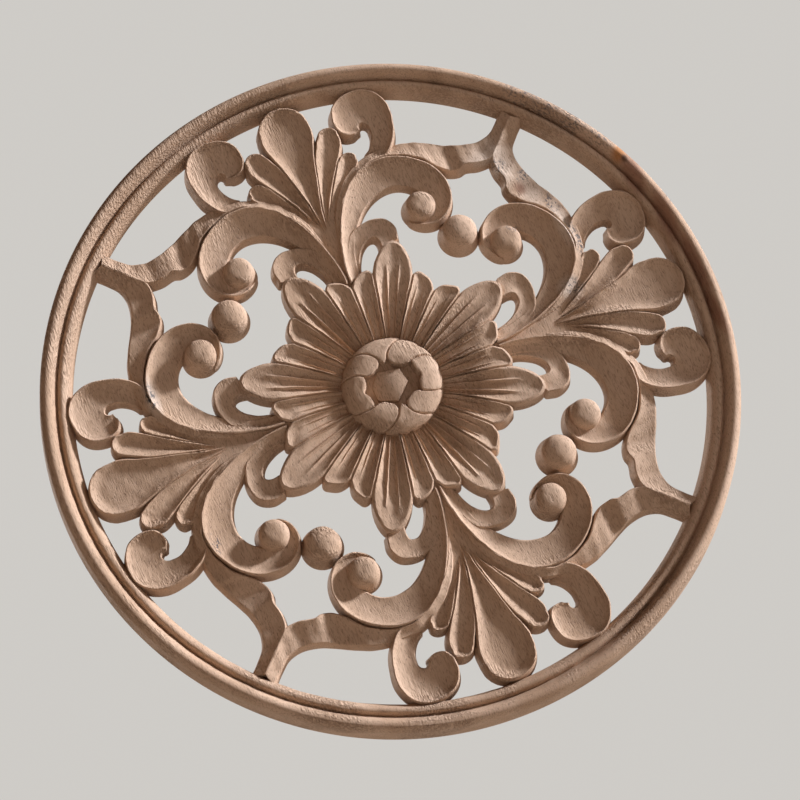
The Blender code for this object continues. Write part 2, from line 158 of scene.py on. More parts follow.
# Curls: angle about the centre, outer radius, inner radius, and the height of both edges
SCROLL_ROWS = 110
HOOK_ROWS = 84
BAND_COLUMNS = 15
SCROLL_CENTRE = (42.5, 71.1)
SCROLL = (
    (-150.0, 7.9, 5.6, 5.0, 5.0),
    (-105.0, 8.7, 6.0, 8.0, 6.6),
    (-60.0, 10.9, 6.2, 9.2, 7.0),
    (-15.0, 13.7, 6.2, RIM, 7.0),
    (30.0, 17.2, 6.4, RIM, 6.8),
    (75.0, 22.3, 7.6, RIM, LOW_EDGE),
    (120.0, 30.4, 15.6, RIM, LOW_EDGE),
    (165.0, 35.0, 25.4, RIM, LOW_EDGE),
    (189.0, 40.2, 33.2, RIM, LOW_EDGE),
    (208.0, 47.4, 41.0, RIM, 6.8),
)
HOOK_CENTRE = (33.5, 115.4)
HOOK = (
    (-108.0, 17.5, 12.5, 6.4, 5.6),
    (-78.0, 17.2, 6.8, 8.8, 6.2),
    (-45.0, 14.6, 3.6, RIM, LOW_EDGE),
    (-10.0, 13.4, 2.6, RIM, LOW_EDGE),
    (25.0, 15.1, 2.2, RIM, LOW_EDGE),
    (60.0, 17.1, 2.0, RIM, 6.6),
    (95.0, 16.9, 2.0, RIM, 7.0),
    (125.0, 16.2, 1.9, RIM, 7.2),
    (150.0, 13.8, 1.9, RIM, 7.4),
    (175.0, 11.2, 1.9, RIM, 7.6),
    (190.0, 8.6, 1.9, 9.5, 7.7),
    (201.0, 5.6, 1.9, 9.0, 7.8),
)
# Lip along a band's outer edge, depth of the hollow beside it, and the width that has all of this depth
BAND_LIP = 0.9
BAND_LIP_WIDTH = 0.7
BAND_SAG = 1.1
BAND_WIDE = 8.0

# Round beads: centre, radius at the shoulder, shoulder height, rise of the dome and how flat its top is
CURL_BEAD = (SCROLL_CENTRE, 6.6, 8.0, 3.9, 3.2)
CORNER_BEAD = ((53.8, 53.8), 7.6, 8.0, 4.9, 2.1)
BEAD_DRAFT = 0.2
BEAD_SEGMENTS = 48
BEAD_ROWS = 13

# Strips: stations from root to end, each an edge point and the opposite edge point as x, y, height.
# The arm ends along the corner axis, where it meets the arm of the next palmette in a ridge. A strip's rows
# crowd together towards its end by a power.
STRIP_COLUMNS = 15
STRIP_CROWD = 1.35
ARM_ROWS = 86
ARM_HOLLOW = 0.5
ARM_RIPPLE = 0.22
ARM_RIPPLE_LENGTH = 8.0
ARM = (
    ((3.1, 70.0, 7.8), (3.9, 69.8, 8.2)),
    ((6.2, 81.0, 8.2), (8.8, 80.2, 9.6)),
    ((11.2, 89.4, 8.3), (14.0, 87.2, 10.0)),
    ((17.4, 96.1, 8.2), (19.9, 92.9, 10.0)),
    ((24.6, 100.3, 7.8), (26.4, 96.6, 9.9)),
    ((32.0, 102.6, 7.2), (32.2, 98.6, 9.5)),
    ((40.5, 102.8, 6.8), (41.0, 97.4, 8.6)),
    ((49.0, 101.5, 7.0), (50.4, 92.4, 9.0)),
    ((55.0, 99.2, 6.8), (56.6, 85.4, 8.6)),
    ((60.4, 96.7, 5.8), (61.2, 81.8, 7.6)),
    ((65.2, 94.2, 6.0), (65.4, 80.8, 8.6)),
    ((69.4, 92.2, 7.4), (69.0, 81.6, 9.8)),
    ((75.0, 90.9, 6.8), (75.0, 80.2, 9.0)),
    ((80.4, 91.0, 6.6), (81.3, 80.9, 9.2)),
    ((85.2, 92.8, 6.8), (85.8, 85.4, 9.5)),
    ((89.6, 96.6, 7.0), (90.6, 90.2, 9.7)),
    ((94.0, 101.0, 7.0), (95.8, 95.4, RIM)),
)
MIDDLE_LEAF_ROWS = 60
MIDDLE_LEAF = (
    ((-0.9, 76.0, 7.3), (0.9, 76.0, 7.3)),
    ((-2.3, 86.0, 8.6), (2.3, 86.0, 8.6)),
    ((-4.6, 96.0, RIM), (4.6, 96.0, RIM)),
    ((-7.8, 108.5, RIM), (7.8, 108.5, RIM)),
    ((-11.2, 118.5, RIM), (11.2, 118.5, RIM)),
    ((-11.3, 125.4, RIM), (11.3, 125.4, RIM)),
)
MIDDLE_TIP = 10.9
SIDE_LEAF_ROWS = 44
SIDE_LEAF = (
    ((1.3, 79.5, 7.3), (3.2, 80.0, 7.3)),
    ((2.7, 88.0, 8.8), (7.4, 88.4, 8.8)),
    ((4.7, 97.0, 9.6), (12.6, 97.0, 9.3)),
    ((7.4, 107.0, 9.8), (18.8, 106.4, 9.5)),
    ((10.4, 113.6, RIM), (21.4, 111.4, 9.6)),
    ((12.3, 116.9, RIM), (21.6, 115.1, 9.6)),
)
SIDE_TIP = 4.2
LAST_LEAF_ROWS = 30
LAST_LEAF = (
    ((4.0, 82.0, 7.0), (7.6, 82.5, 6.8)),
    ((7.8, 89.0, 8.4), (14.4, 89.6, 7.6)),
    ((11.6, 95.2, 9.3), (20.6, 95.4, 8.0)),
    ((15.6, 101.8, 9.5), (24.8, 99.8, 8.4)),
    ((17.4, 103.8, 9.5), (25.0, 102.2, 8.6)),
)
LAST_TIP = 3.2
# Depth of a leaf's hollow, and the least and greatest width of the flank that leads down to it
LEAF_HOLLOW = 2.1
LEAF_FLANKS = (0.2, 4.5)
LEAFLET_ROWS = 36
LEAFLET_HOLLOW = 0.8
LEAFLET = (
    ((3.5, 60.0, 7.2), (7.0, 52.0, 6.6)),
    ((8.0, 69.5, 6.8), (8.4, 57.0, 6.4)),
    ((14.0, 72.8, 6.8), (11.4, 62.2, 6.4)),
    ((20.4, 73.4, 7.6), (15.2, 65.2, 6.6)),
    ((26.0, 71.2, 8.2), (18.4, 65.2, 7.0)),
    ((28.6, 66.0, 8.6), (19.6, 62.6, 7.6)),
    ((27.8, 60.6, 8.4), (19.0, 58.0, 7.8)),
)
STEM_ROWS = 40
STEM_HOLLOW = 0.3
PALMETTE_STEM = (
    ((-1.2, 44.0, STEM), (1.2, 44.0, STEM)),
    ((-2.6, 62.0, STEM), (2.6, 62.0, STEM)),
    ((-7.5, 78.0, STEM), (7.5, 78.0, STEM)),
    ((-16.0, 91.0, STEM), (16.0, 91.0, STEM)),
    ((-15.0, 106.0, STEM), (15.0, 106.0, STEM)),
)

# Tool marks: height, lengths and count of the waves that the cutter left, the height above the back where
# they are full, the radii between which they fade out, and the height from which the crest has none
WOBBLE_SEED = 7
WOBBLE_HEIGHT = 0.06
WOBBLE_LENGTHS = (3.5, 9.0)
WOBBLE_WAVES = 10
WOBBLE_FULL = 4.0
WOBBLE_RADII = (146.0, 149.0)
WOBBLE_TOP = 12.7

# Chamfer along the edges of bands, strips and leaves, and the least and most of a width that it may take
CHAMFER_HEIGHT = 0.7
CHAMFER_WIDTH = 0.5
CHAMFER_SHARES = (0.01, 0.2)
LEAST_WIDTH = 0.1

# Closing the back: the triangulation keeps what lies inside the outlines, and joins points this close
KEEP_INSIDE = 1
JOIN_DISTANCE = 1e-9

# Wood: roughness, gloss and colours
WOOD_ROUGHNESS = 0.78
WOOD_SPECULAR = 0.3
WOOD_PALE = (0.64, 0.445, 0.305, 1)
WOOD_DARK = (0.53, 0.35, 0.225, 1)
# Dark fibre colour; it is also painted as shade in the low hollows between the strokes of torn grain
FIBRE_AND_PIT_SHADE = (0.30, 0.185, 0.115, 1)
WOOD_RED = (0.27, 0.115, 0.065, 1)
KNOT_BROWN = (0.46, 0.17, 0.03, 1)
PORE_BROWN = (0.13, 0.065, 0.035, 1)
SOOT_GREY = (0.07, 0.075, 0.085, 1)
BLEACHED_GREY = (0.69, 0.57, 0.46, 1)

# How much of each colour is laid over the tone where its mask is full
BLEACHED_SHARE = 0.6
FIBRE_SHARE = 0.6
# The share of fibre colour painted as shade in the low hollows of torn grain
PIT_SHADE_SHARE = 0.5
STREAK_SHARE = 0.7
KNOT_SHARE = 0.8
CORE_SHARE = 1.0
PORE_SHARE = 0.45
SOOT_SHARE = 0.85

# Noises: waves per metre along X, Y and Z, detail and roughness
TONE_NOISE = ((55, 55, 7), 3.0, 0.5)
FIBRE_NOISE = ((1700, 1700, 260), 3.0, 0.6)
PORE_NOISE = ((2400, 2400, 480), 1.0, 0.5)
BLOTCH_NOISE = ((40, 40, 25), 2.0, 0.5)
TORN_NOISE = ((1150, 1150, 150), 1.5, 0.5)
SPECK_NOISE = ((1000, 1000, 600), 3.0, 0.7)
# Values between which each mask goes from 0 to 1. A spot's is the distance as a share of its reach.
TONE_LIMITS = (0.3, 0.7)
FIBRE_LIMITS = (0.45, 0.75)
PORE_LIMITS = (0.6, 0.72)
BLOTCH_LIMITS = (0.45, 0.62)
TORN_LIMITS = (0.41, 0.6)
SPECK_LIMITS = (0.5, 0.58)
SPOT_LIMITS = (1.0, 0.35)
# Relief in metres
FIBRE_HEIGHT = 0.00016
PORE_HEIGHT = 0.0001
TORN_HEIGHT = 0.00036
# Grain tears on slopes: the direction they face along or against, and the limits of how far they do. In
# the torn spots it tears on every surface, by a share.
TORN_FACING = (0.5, 0.0, 0.87)
TORN_SLOPES = (0.08, 0.5)
TORN_SHARE = 0.8

# Spots: x, z, reach along x and reach along z in millimetres. All of them lie this far in front of the
# back, and reach this far in depth, so that the back stays clean.
SPOT_DEPTH = 10.0
SPOT_REACH = 9.0
TORN = ((-75.0, 112.0, 62.0, 45.0), (-20.0, 138.0, 45.0, 16.0), (-118.0, 70.0, 30.0, 45.0))
SOOT = (
    (106.0, 106.0, 12.0, 12.0),
    (115.0, 96.0, 12.0, 12.0),
    (123.5, 85.0, 12.0, 12.0),
    (131.0, 73.5, 10.0, 11.0),
    (146.0, 36.0, 4.0, 11.0),
    (81.0, 76.0, 6.0, 6.0),
    (91.0, 68.0, 6.5, 5.0),
    (97.0, 52.0, 4.5, 9.0),
    (100.0, 32.0, 4.0, 12.0),
    (90.0, 12.0, 6.0, 5.0),
    (76.0, 47.0, 5.0, 4.5),
    (-97.5, 32.0, 3.5, 9.0),
    (-94.5, -37.0, 3.0, 7.0),
)
BLEACHED = (
    (80.0, 78.0, 16.0, 20.0),
    (91.0, 62.0, 9.0, 14.0),
    (97.5, 42.0, 5.0, 18.0),
    (88.0, 12.0, 8.0, 8.0),
    (-97.0, 32.0, 4.5, 14.0),
)
KNOT = ((132.6, 60.6, 4.2, 5.6),)
KNOT_CORE = ((133.8, 57.4, 2.0, 2.8),)
STREAK = (
    (87.0, 63.0, 4.0, 4.5),
    (135.0, 50.0, 6.0, 16.0),
    (140.0, 26.0, 5.0, 20.0),
    (143.0, 2.0, 3.5, 24.0),
    (142.0, -22.0, 3.0, 20.0),
)

# Floor and surroundings
FLOOR_SIZE = 12.0
FLOOR_LEVEL = -0.42
FLOOR_ROUGHNESS = 0.9
FLOOR_COLOUR = (0.66, 0.60, 0.53, 1)
BACKDROP_COLOUR = (0.62, 0.60, 0.57, 1)
FILL_COLOUR = (1.0, 0.46, 0.2, 1)
FILL_STRENGTH = 0.08

# Suns: name, the way from the rosette towards it, strength, softness and colour
SUNS = (
    ("key", (0.95, -0.185, 0.24), 5.85, 0.14, (0.95, 1.0, 1.12)),
    ("low_fill", (-0.78, -0.16, -0.55), 0.95, 0.5, (1.0, 0.6, 0.36)),
    ("back_fill", (-0.3, 0.85, 0.4), 1.6, 0.5, (1.0, 0.96, 0.92)),
)
# Lamp: name, place, the point it is turned to, power, size and colour
LAMP = ("near_fill", (0.25, -0.2, 0.27), (0.09, 0.0, 0.1), 0.13, 0.14, (0.92, 1.0, 1.1))

# Camera: place in metres, and the directions it looks along and has on its right
CAMERA_PLACE = (-0.14528, -0.90270, -0.25086)
CAMERA_FORWARD = (0.15499, 0.95333, 0.25912)
CAMERA_RIGHT = (0.92265, -0.04593, -0.38289)
CAMERA_LENS = 99.48


def smooth_stations(stations, count, crowd=1.0):
    """Values at count steps along a Catmull-Rom curve through the stations.

    The steps are even, or shorten towards the end by a power of the way left.
    """
    values = np.asarray(stations, dtype=float)
    padded = np.vstack((2 * values[0] - values[1], values, 2 * values[-1] - values[-2]))
    steps = (len(values) - 1) * (1 - np.linspace(1, 0, count) ** crowd)
    first = np.minimum(steps.astype(int), len(values) - 2)
    t = (steps - first)[:, None]
    before, start, end, after = (padded[first + offset] for offset in range(4))
    return 0.5 * (
        2 * start
        + (end - before) * t
        + (2 * before - 5 * start + 4 * end - after) * t**2
        + (3 * start - before - 3 * end + after) * t**3
    )


def crowded(count):
    """Places from 0 to 1 that crowd together at both ends, by half a cosine wave."""
    return (1 - np.cos(np.linspace(0, math.pi, count))) / 2


def inset(plan, *edges):
    """Distance in plan from each grid point to the nearest of the edges, each a line of points.

    Every piece of a line gives the point on it that is nearest: the foot of the perpendicular, or an end.
    """
    nearest = np.full(plan.shape[:2], np.inf)
    for edge in edges:
        run = np.diff(edge[:, :2], axis=0)
        apart = plan[:, :, None, :2] - edge[:-1, :2]
        share = np.clip((apart * run).sum(axis=-1) / (run**2).sum(axis=-1), 0, 1)
        away = np.linalg.norm(apart - share[..., None] * run, axis=-1)
        nearest = np.minimum(nearest, away.min(axis=-1))
    return nearest


def chamfer(distance):
    """Straight fall of the height beside an edge."""
    return CHAMFER_HEIGHT * np.clip(1 - distance / CHAMFER_WIDTH, 0, 1)


def sag(depth, across):
    """Hollow that falls as a parabola from both edges to its depth in the middle."""
    return depth * 4 * across * (1 - across)


def places_across(width, count):
    """Places from edge to edge for each row: the edges, the chamfers' inner lines, crowded ones between."""
    share = np.clip(CHAMFER_WIDTH / np.maximum(width, LEAST_WIDTH), *CHAMFER_SHARES)[:, None]
    between = share + (1 - 2 * share) * crowded(count - 2)
    return np.hstack((0 * share, between, 0 * share + 1))


def loft(left, right, columns, tip=0.0):
    """Grid between two edges of x, y, z rows, straight across, and its places across.

    The rows bulge along the motif by the fourth power of the way along it, and by half an ellipse across
    it, so that its end is round and stands out by tip.
    """
    across = places_across(np.linalg.norm(left - right, axis=1), columns)
    v = across[..., None]
    grid = left[:, None] * (1 - v) + right[:, None] * v
    middle = (left + right)[:, :2] / 2
    direction = middle[-1] - middle[-2]
    direction /= np.linalg.norm(direction)
    u = np.linspace(0, 1, len(left))[:, None]
    grid[..., :2] += (2 * tip * u**4 * np.sqrt(across * (1 - across)))[..., None] * direction
    return grid, across


def boundary(rows, columns):
    """Indices of a grid's edge, once round in order."""
    index = np.arange(rows * columns).reshape(rows, columns)
    return np.concatenate((index[0, :-1], index[:-1, -1], index[-1, :0:-1], index[:0:-1, 0]))


def grid_faces(rows, columns):
    """Quads of a grid, row by row."""
    index = np.arange(rows * columns).reshape(rows, columns)
    corners = (index[:-1, :-1], index[:-1, 1:], index[1:, 1:], index[1:, :-1])
    return np.stack(corners, axis=-1).reshape(-1, 4)


def signed_area(loop):
    """Area of a flat loop of points, positive when it runs counter-clockwise."""
    x, y = loop[:, 0], loop[:, 1]
    return 0.5 * np.sum(x * np.roll(y, -1) - np.roll(x, -1) * y)


def leant_out(loop, draft):
    """Foot of the wall below a counter-clockwise loop: moved outward by the draft, below the back."""
    run = np.roll(loop[:, :2], -1, axis=0) - np.roll(loop[:, :2], 1, axis=0)
    outward = np.column_stack((run[:, 1], -run[:, 0])) / np.linalg.norm(run, axis=1)[:, None]
    foot = loop.copy()
    foot[:, :2] += outward * (draft * (loop[:, 2] + SPARE_DEPTH))[:, None]
    foot[:, 2] = -SPARE_DEPTH
    return foot


def spread(loop, draft):
    """Foot of the wall below a loop about the origin: moved outward along the radius, below the back."""
    reach = np.linalg.norm(loop[:, :2], axis=1)
    foot = loop.copy()
    foot[:, :2] *= (1 + draft * (loop[:, 2] + SPARE_DEPTH) / reach)[:, None]
    foot[:, 2] = -SPARE_DEPTH
    return foot


def carved(grid):
    """Closed solid under a grid: the top, walls that lean outwards going down, and a flat underside."""
    rows, columns = grid.shape[:2]
    loop = boundary(rows, columns)
    if signed_area(grid.reshape(-1, 3)[loop]) < 0:
        grid = grid[:, ::-1]
    top = grid.reshape(-1, 3)
    foot = top.copy()
    foot[:, 2] = -SPARE_DEPTH
    foot[loop] = leant_out(top[loop], WALL_DRAFT)
    faces = grid_faces(rows, columns)
    following = np.roll(loop, -1)
    walls = np.column_stack((loop, loop + len(top), following + len(top), following))
    underside = faces[:, ::-1] + len(top)
    return np.vstack((top, foot)), np.vstack((faces, walls, underside)).tolist()


def carved_round(grid):
    """Closed ring under a grid whose columns run round counter-clockwise and whose rows run outward."""
    feet = [spread(grid[-1], WALL_DRAFT), spread(grid[0], -WALL_DRAFT)]
    rows = np.concatenate((grid, feet))
    index = np.arange(rows.shape[0] * rows.shape[1]).reshape(rows.shape[:2])
    below = np.roll(index, -1, axis=0)
    corners = (index, below, np.roll(below, -1, axis=1), np.roll(index, -1, axis=1))
    return rows.reshape(-1, 3), np.stack(corners, axis=-1).reshape(-1, 4).tolist()


def turned_grid(profile, segments, centre=(0.0, 0.0)):
    """Grid made by turning a profile of radius and height about an upright axis."""
    radius, height = np.array(profile, dtype=float).T
    angle = np.arange(segments) * 2 * math.pi / segments
    x = centre[0] + np.outer(radius, np.cos(angle))
    y = centre[1] + np.outer(radius, np.sin(angle))
    return np.stack((x, y, np.outer(height, np.ones(segments))), axis=-1)


def turned_knob(profile, segments, centre=(0.0, 0.0), draft=WALL_DRAFT):
    """Solid turned about an upright axis, from a profile that starts at the pole."""
    grid = turned_grid(profile[1:], segments, centre)
    rows = np.concatenate((grid, leant_out(grid[-1], draft)[None]))
    pole = np.array((*centre, profile[0][1]))
    foot = np.array((*centre, -SPARE_DEPTH))
    index = np.arange(rows.shape[0] * segments).reshape(rows.shape[:2])
    beside = np.roll(index, -1, axis=1)
    quads = np.stack((index[:-1], index[1:], beside[1:], beside[:-1]), axis=-1).reshape(-1, 4)
    top = [(index.size, start, end) for start, end in zip(index[0], beside[0])]
    bottom = [(index.size + 1, end, start) for start, end in zip(index[-1], beside[-1])]
    return np.vstack((rows.reshape(-1, 3), pole, foot)), quads.tolist() + top + bottom


def mirrored(solid):
    """The solid reflected across the palmette's axis, with its faces turned to stay outward."""
    points, faces = solid
    return points * (-1, 1, 1), [face[::-1] for face in faces]


def turned_by(solid, degrees):
    """The solid turned about the rosette's axis, clockwise seen from the front."""
    points, faces = solid
    angle = math.radians(degrees)
    cosine, sine = math.cos(angle), math.sin(angle)
    turn = np.array(((cosine, -sine, 0), (sine, cosine, 0), (0, 0, 1)))
    return points @ turn, faces


def ring(outer_radius):
    """The round frame: a half-round outside and a bead inside, with a V groove between them."""
    inner = smooth_stations(RING_BEAD, RING_BEAD_STEPS)
    outer = smooth_stations(RING_ROUND, RING_ROUND_STEPS)
    profile = np.vstack((inner, outer))
    profile[:, 0] = outer_radius - profile[:, 0]
    return carved_round(turned_grid(profile, RING_SEGMENTS))


def is_long(number):
    """Whether a petal is one of the long ones."""
    return number % LONG_EVERY == LONG_PLACE


def petal_sides(number):
    """Angles of a petal's two sides at the root and at its notches, and the radii of the notches.

    A long petal spreads at its notches, and the petals beside it give way there.
    """
    step = 360 / PETALS
    place = number % LONG_EVERY
    widening = LONG_SPREAD if is_long(number) else -LONG_SPREAD
    starts = [number * step, (number + 1) * step]
    ends = list(starts)
    notches = [SHORT_NOTCH, SHORT_NOTCH]
    if place in (LONG_PLACE, LONG_PLACE + 1):
        ends[0] -= widening
        notches[0] = LONG_NOTCH
    if place in (LONG_PLACE - 1, LONG_PLACE):
        ends[1] += widening
        notches[1] = LONG_NOTCH
    return starts, ends, notches


def on_circle(radius, degrees):
    """Points at a radius and angles about the rosette's axis."""
    angle = np.radians(degrees)
    return np.asarray(radius)[..., None] * np.stack((np.cos(angle), np.sin(angle)), axis=-1)


def petal_plan(number, u, v):
    """Plan of one petal's grid, straight from its root arc to its outline, and its two sides and outline.

    The outline goes from one notch to the other: its way across swells in the middle, and its way out
    falls with a power of the way to either side.
    """
    starts, ends, notches = petal_sides(number)
    root = on_circle(np.full(len(v), PETAL_ROOT), starts[0] + (starts[1] - starts[0]) * v)
    start, end = on_circle(notches, ends)
    side = 2 * v - 1
    reach, swell, power = LONG_TIP if is_long(number) else SHORT_TIP
    along = reach * (1 - np.abs(side) ** power)
    across = side * (1 + swell * (1 - side**2))
    axis = on_circle(np.ones(1), [sum(starts) / 2])
    outline = (start + end) / 2 + np.outer(across, (end - start) / 2) + along[:, None] * axis
    plan = root * (1 - u)[:, None, None] + outline * u[:, None, None]
    inner = on_circle((PETAL_ROOT, PETAL_ROOT), starts)
    sides = [foot + (notch - foot) * u[:, None] for foot, notch in zip(inner, (start, end))]
    return plan, sides, np.vstack((outline, end))


def petal(number):
    """Grid of one petal: hollow, with a groove at each side and two veins that stand on columns.

    The height is the rim's, less a fluted section at the root that follows the columns, and less a
    scooped one at the tip that follows the distance in from the outline as a share of the width.
    """
    half = np.array(PETAL_ACROSS)
    v = np.concatenate((half, 1 - half[-2:0:-1]))
    u = 1 - (1 - np.linspace(0, 1, PETAL_ROWS)) ** PETAL_CROWD
    plan, sides, outline = petal_plan(number, u, v)
    width = np.linalg.norm(sides[0] - sides[1], axis=1)[:, None]
    share = np.minimum(inset(plan, *sides, outline) / width, 0.5)
    scoop = np.clip((u - SCOOP_ENDS[0]) / (SCOOP_ENDS[1] - SCOOP_ENDS[0]), 0, 1)[:, None]
    column = np.minimum(v, 1 - v)
    fluted = -np.interp(column, *zip(*FLUTED_SECTION))
    scooped = -np.interp(share, *zip(*SCOOPED_SECTION))
    fall = fluted * (1 - scoop) + scooped * scoop
    levels = np.linspace(0, 1, len(PETAL_CROWN))
    crown = np.interp(u, levels, PETAL_CROWN)[:, None]
    height = crown - fall * np.interp(u, levels, PETAL_DEPTH)[:, None]
    place, rise = LONG_VEIN if is_long(number) else SHORT_VEIN
    fade = 1 - np.clip((u - VEIN_ENDS[0]) / (VEIN_ENDS[1] - VEIN_ENDS[0]), 0, 1)[:, None]
    height += rise * fade * np.clip(1 - np.abs(column - place) / VEIN_WIDTH, 0, 1)
    return np.dstack((plan, height))


def flower():
    """All petals as one ring."""
    return carved_round(np.concatenate([petal(number) for number in range(PETALS)], axis=1))


def petal_end(kind, v):
    """How far the inner end of a boss petal lies back from its innermost point, across the petal.

    A heart has a bell-shaped cleft, and shoulders that fall with the sixth power of the way to a side. A
    point falls evenly, and a round end with the fourth power.
    """
    side = 2 * v - 1
    if kind == "heart":
        return HEART_CLEFT * np.exp(-((side / HEART_CLEFT_WIDTH) ** 2)) + HEART_SHOULDER * side**6
    if kind == "point":
        return POINT_FALL * np.abs(side)
    return ROUND_FALL * side**4


def boss_petal(pit_angles, rim_angles, inner_radius, kind):
    """Grid of one petal of the boss, from the pit to the boss's rim, between two leaning sides.

    Its sides lean by the square of the way out. Its height follows the crown, less a groove along both
    sides and a rounding at the inner end.
    """
    u = crowded(BOSS_ROWS)[:, None]
    v = crowded(BOSS_PETAL_COLUMNS + 1)[None, :]
    inner = inner_radius + petal_end(kind, v)
    radius = inner + (BOSS_RADIUS - inner) * u
    lean = np.clip((radius - BOSS_LEAN_START) / (BOSS_RADIUS - BOSS_LEAN_START), 0, 1) ** 2
    start = pit_angles[0] + (rim_angles[0] - pit_angles[0]) * lean
    end = pit_angles[1] + (rim_angles[1] - pit_angles[1]) * lean
    plan = on_circle(radius, start + (end - start) * v)
    from_side = inset(plan, plan[:, 0], plan[:, -1])
    from_end = inset(plan, plan[0])
    groove = BOSS_GROOVE * np.clip(1 - from_side / BOSS_GROOVE_WIDTH, 0, 1)
    rounding = BOSS_ROUNDING * np.exp(-from_end / BOSS_ROUNDING)
    crown = np.interp(radius, *zip(*BOSS_CROWN))
    return np.dstack((plan, crown - groove - rounding))[:, :-1]


def bud():
    """Faceted bud in the pit: tilted facets round a peak, over a wider foot."""
    top = np.array(BUD_TOP)
    count = len(top)
    foot = top * (BUD_SPREAD, BUD_SPREAD, 0)
    foot[:, 2] = -SPARE_DEPTH
    under = np.array((0.0, 0.0, -SPARE_DEPTH))
    points = np.vstack((top[::-1], foot[::-1], BUD_PEAK, under))
    faces = []
    for here in range(count):
        after = (here + 1) % count
        faces += [
            (2 * count, here, after),
            (here, here + count, after + count, after),
            (2 * count + 1, after + count, here + count),
        ]
    return points, faces


def boss():
    """Swirl of eight petals round a pit, alike after half a turn, with a faceted bud in the pit."""
    half = np.concatenate([boss_petal(*shape) for shape in BOSS_PETALS], axis=1)
    petals = carved_round(np.concatenate((half, half * (-1, -1, 1)), axis=1))
    floor = turned_knob(BOSS_FLOOR, BOSS_SEGMENTS)
    return [turned_by(solid, BOSS_TURN) for solid in (petals, floor, bud())]


def curl(centre, stations, rows):
    """Band that winds round a centre: a spiral outer edge with a lip and a lower spiral inner edge.

    Beside the lip the height falls along a bell curve, and then into a hollow.
    """
    angle, outer, inner, outer_height, inner_height = smooth_stations(stations, rows).T
    angle = np.radians(angle)
    direction = np.column_stack((np.cos(angle), np.sin(angle)))
    left = np.column_stack((centre + direction * outer[:, None], outer_height))
    right = np.column_stack((centre + direction * inner[:, None], inner_height))
    grid, across = loft(left, right, BAND_COLUMNS)
    from_outer = inset(grid, left)
    from_inner = inset(grid, right)
    width = np.linalg.norm(left - right, axis=1)[:, None]
    from_lip = np.maximum(from_outer - CHAMFER_WIDTH, 0)
    fall = BAND_LIP * (1 - np.exp(-((from_lip / BAND_LIP_WIDTH) ** 2))) * (1 - across)
    hollow = sag(BAND_SAG, across) * np.clip(width / BAND_WIDE, 0, 1)
    grid[..., 2] -= fall + hollow + chamfer(from_outer) + chamfer(from_inner)
    return carved(grid)


def strip(stations, rows, tip=0.0):
    """Grid between two edges that are given station by station, and its places across."""
    edges = smooth_stations([first + second for first, second in stations], rows, STRIP_CROWD)
    return loft(edges[:, :3], edges[:, 3:], STRIP_COLUMNS, tip)


def leaf(stations, rows, tip):
    """Hollow leaf: chamfered round its outline, and falling from there along a sine to a flat bottom."""
    grid, _ = strip(stations, rows, tip)
    distance = inset(grid, grid[:, 0], grid[:, -1], grid[-1])
    half = np.linalg.norm(grid[:, 0, :2] - grid[:, -1, :2], axis=1)[:, None] / 2
    flank = np.clip(half - CHAMFER_WIDTH, *LEAF_FLANKS)
    bowl = LEAF_HOLLOW * np.sin(np.clip((distance - CHAMFER_WIDTH) / flank, 0, 1) * math.pi / 2)
    grid[..., 2] -= chamfer(distance) + bowl
    return carved(grid)


def plain(stations, rows, hollow, ripple=0.0):
    """Strip with a shallow hollow, chamfered edges, and ripples that follow a sine of its length."""
    grid, across = strip(stations, rows)
    steps = np.linalg.norm(np.diff(grid[:, STRIP_COLUMNS // 2], axis=0), axis=1)
    run = np.concatenate(((0.0,), np.cumsum(steps)))
    grid[..., 2] += ripple * np.sin(run * 2 * math.pi / ARM_RIPPLE_LENGTH)[:, None]
    grid[..., 2] -= sag(hollow, across) + chamfer(inset(grid, grid[:, 0], grid[:, -1]))
    return carved(grid)


def bead(centre, radius, shoulder, rise, flatness):
    """Round bead on a drafted post; its dome falls with a power of the radius, under a square root."""
    out = np.sin(np.linspace(0, math.pi / 2, BEAD_ROWS))
    dome = np.column_stack((radius * out, shoulder + rise * np.sqrt(np.maximum(1 - out**flatness, 0))))
    return turned_knob(dome.tolist(), BEAD_SEGMENTS, centre, BEAD_DRAFT)


def quarter():
    """All motifs that belong to one palmette."""
    single = [
        leaf(MIDDLE_LEAF, MIDDLE_LEAF_ROWS, MIDDLE_TIP),
        plain(PALMETTE_STEM, STEM_ROWS, STEM_HOLLOW),
        bead(*CORNER_BEAD),
    ]
    paired = [
        curl(SCROLL_CENTRE, SCROLL, SCROLL_ROWS),
        curl(HOOK_CENTRE, HOOK, HOOK_ROWS),
        bead(*CURL_BEAD),
        plain(ARM, ARM_ROWS, ARM_HOLLOW, ARM_RIPPLE),
        leaf(SIDE_LEAF, SIDE_LEAF_ROWS, SIDE_TIP),
        leaf(LAST_LEAF, LAST_LEAF_ROWS, LAST_TIP),
        plain(LEAFLET, LEAFLET_ROWS, LEAFLET_HOLLOW),
    ]
    return single + paired + [mirrored(solid) for solid in paired]


def solid_object(name, solid):
    """Blender object for a solid given in millimetres in the carving frame."""
    points, faces = solid
    mesh = bpy.data.meshes.new(name)
    mesh.from_pydata(points.tolist(), [], faces)
    return bpy.data.objects.new(name, mesh)


def united(body, others):
    """Mesh of the body united with a list of solids, which are then removed."""
    group = bpy.data.collections.new("others")
    for other in others:
        group.objects.link(other)
    bpy.context.scene.collection.objects.link(body)
    modifier = body.modifiers.new("union", "BOOLEAN")
    modifier.operation = "UNION"
    modifier.operand_type = "COLLECTION"
    modifier.collection = group
    modifier.solver = "MANIFOLD"
    shape = bpy.data.meshes.new_from_object(body.evaluated_get(bpy.context.evaluated_depsgraph_get()))
    for used in [body, *others]:
        bpy.data.objects.remove(used, do_unlink=True)
    bpy.data.collections.remove(group)
    return shape


